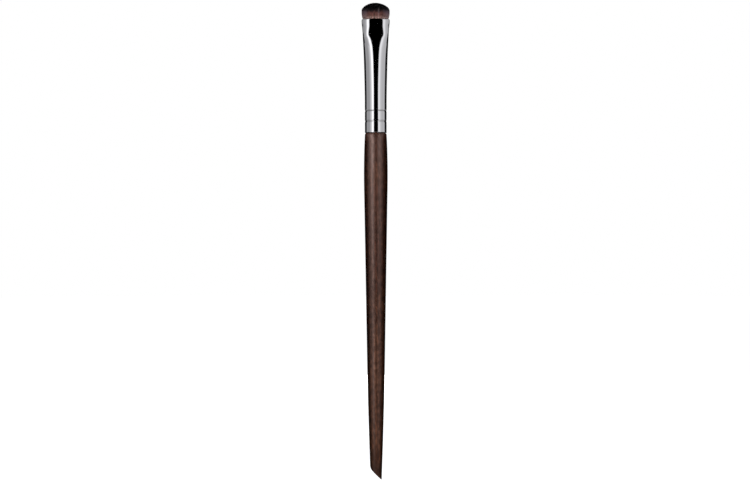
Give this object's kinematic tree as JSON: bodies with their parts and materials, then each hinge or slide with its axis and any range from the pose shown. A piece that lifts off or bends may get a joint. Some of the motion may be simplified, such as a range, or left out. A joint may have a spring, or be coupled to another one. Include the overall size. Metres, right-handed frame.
{
  "type": "makeup brush",
  "caption": "Slim eye makeup brush with a short domed tuft, a metal ferrule pressed to an oval mouth, and a tapered wooden handle with a slanted end.",
  "frame": {"origin": "on the axis at the belly of the handle, 16 mm behind the ferrule, where fingers hold the brush", "axes": "+Z along the brush towards the hair, the ferrule's broad front towards -Y, the point of the slanted end on +X"},
  "size_m": [0.011, 0.0092, 0.1849],
  "materials": {
    "lacquered_wood": "dark brown stain under satin lacquer",
    "polished_metal": "polished",
    "dyed_hair": "soft filaments, black at the tips and brown below",
    "waxed_thread": "waxed",
    "amber_epoxy": "cured resin",
    "white_glue": "dried glue"
  },
  "bodies": {
    "root": {"handle": "lacquered_wood", "ferrule": "polished_metal", "bristle_tuft": "dyed_hair", "binding_thread": "waxed_thread", "epoxy_plug": "amber_epoxy", "handle_glue": "white_glue"}
  },
  "joints": []
}
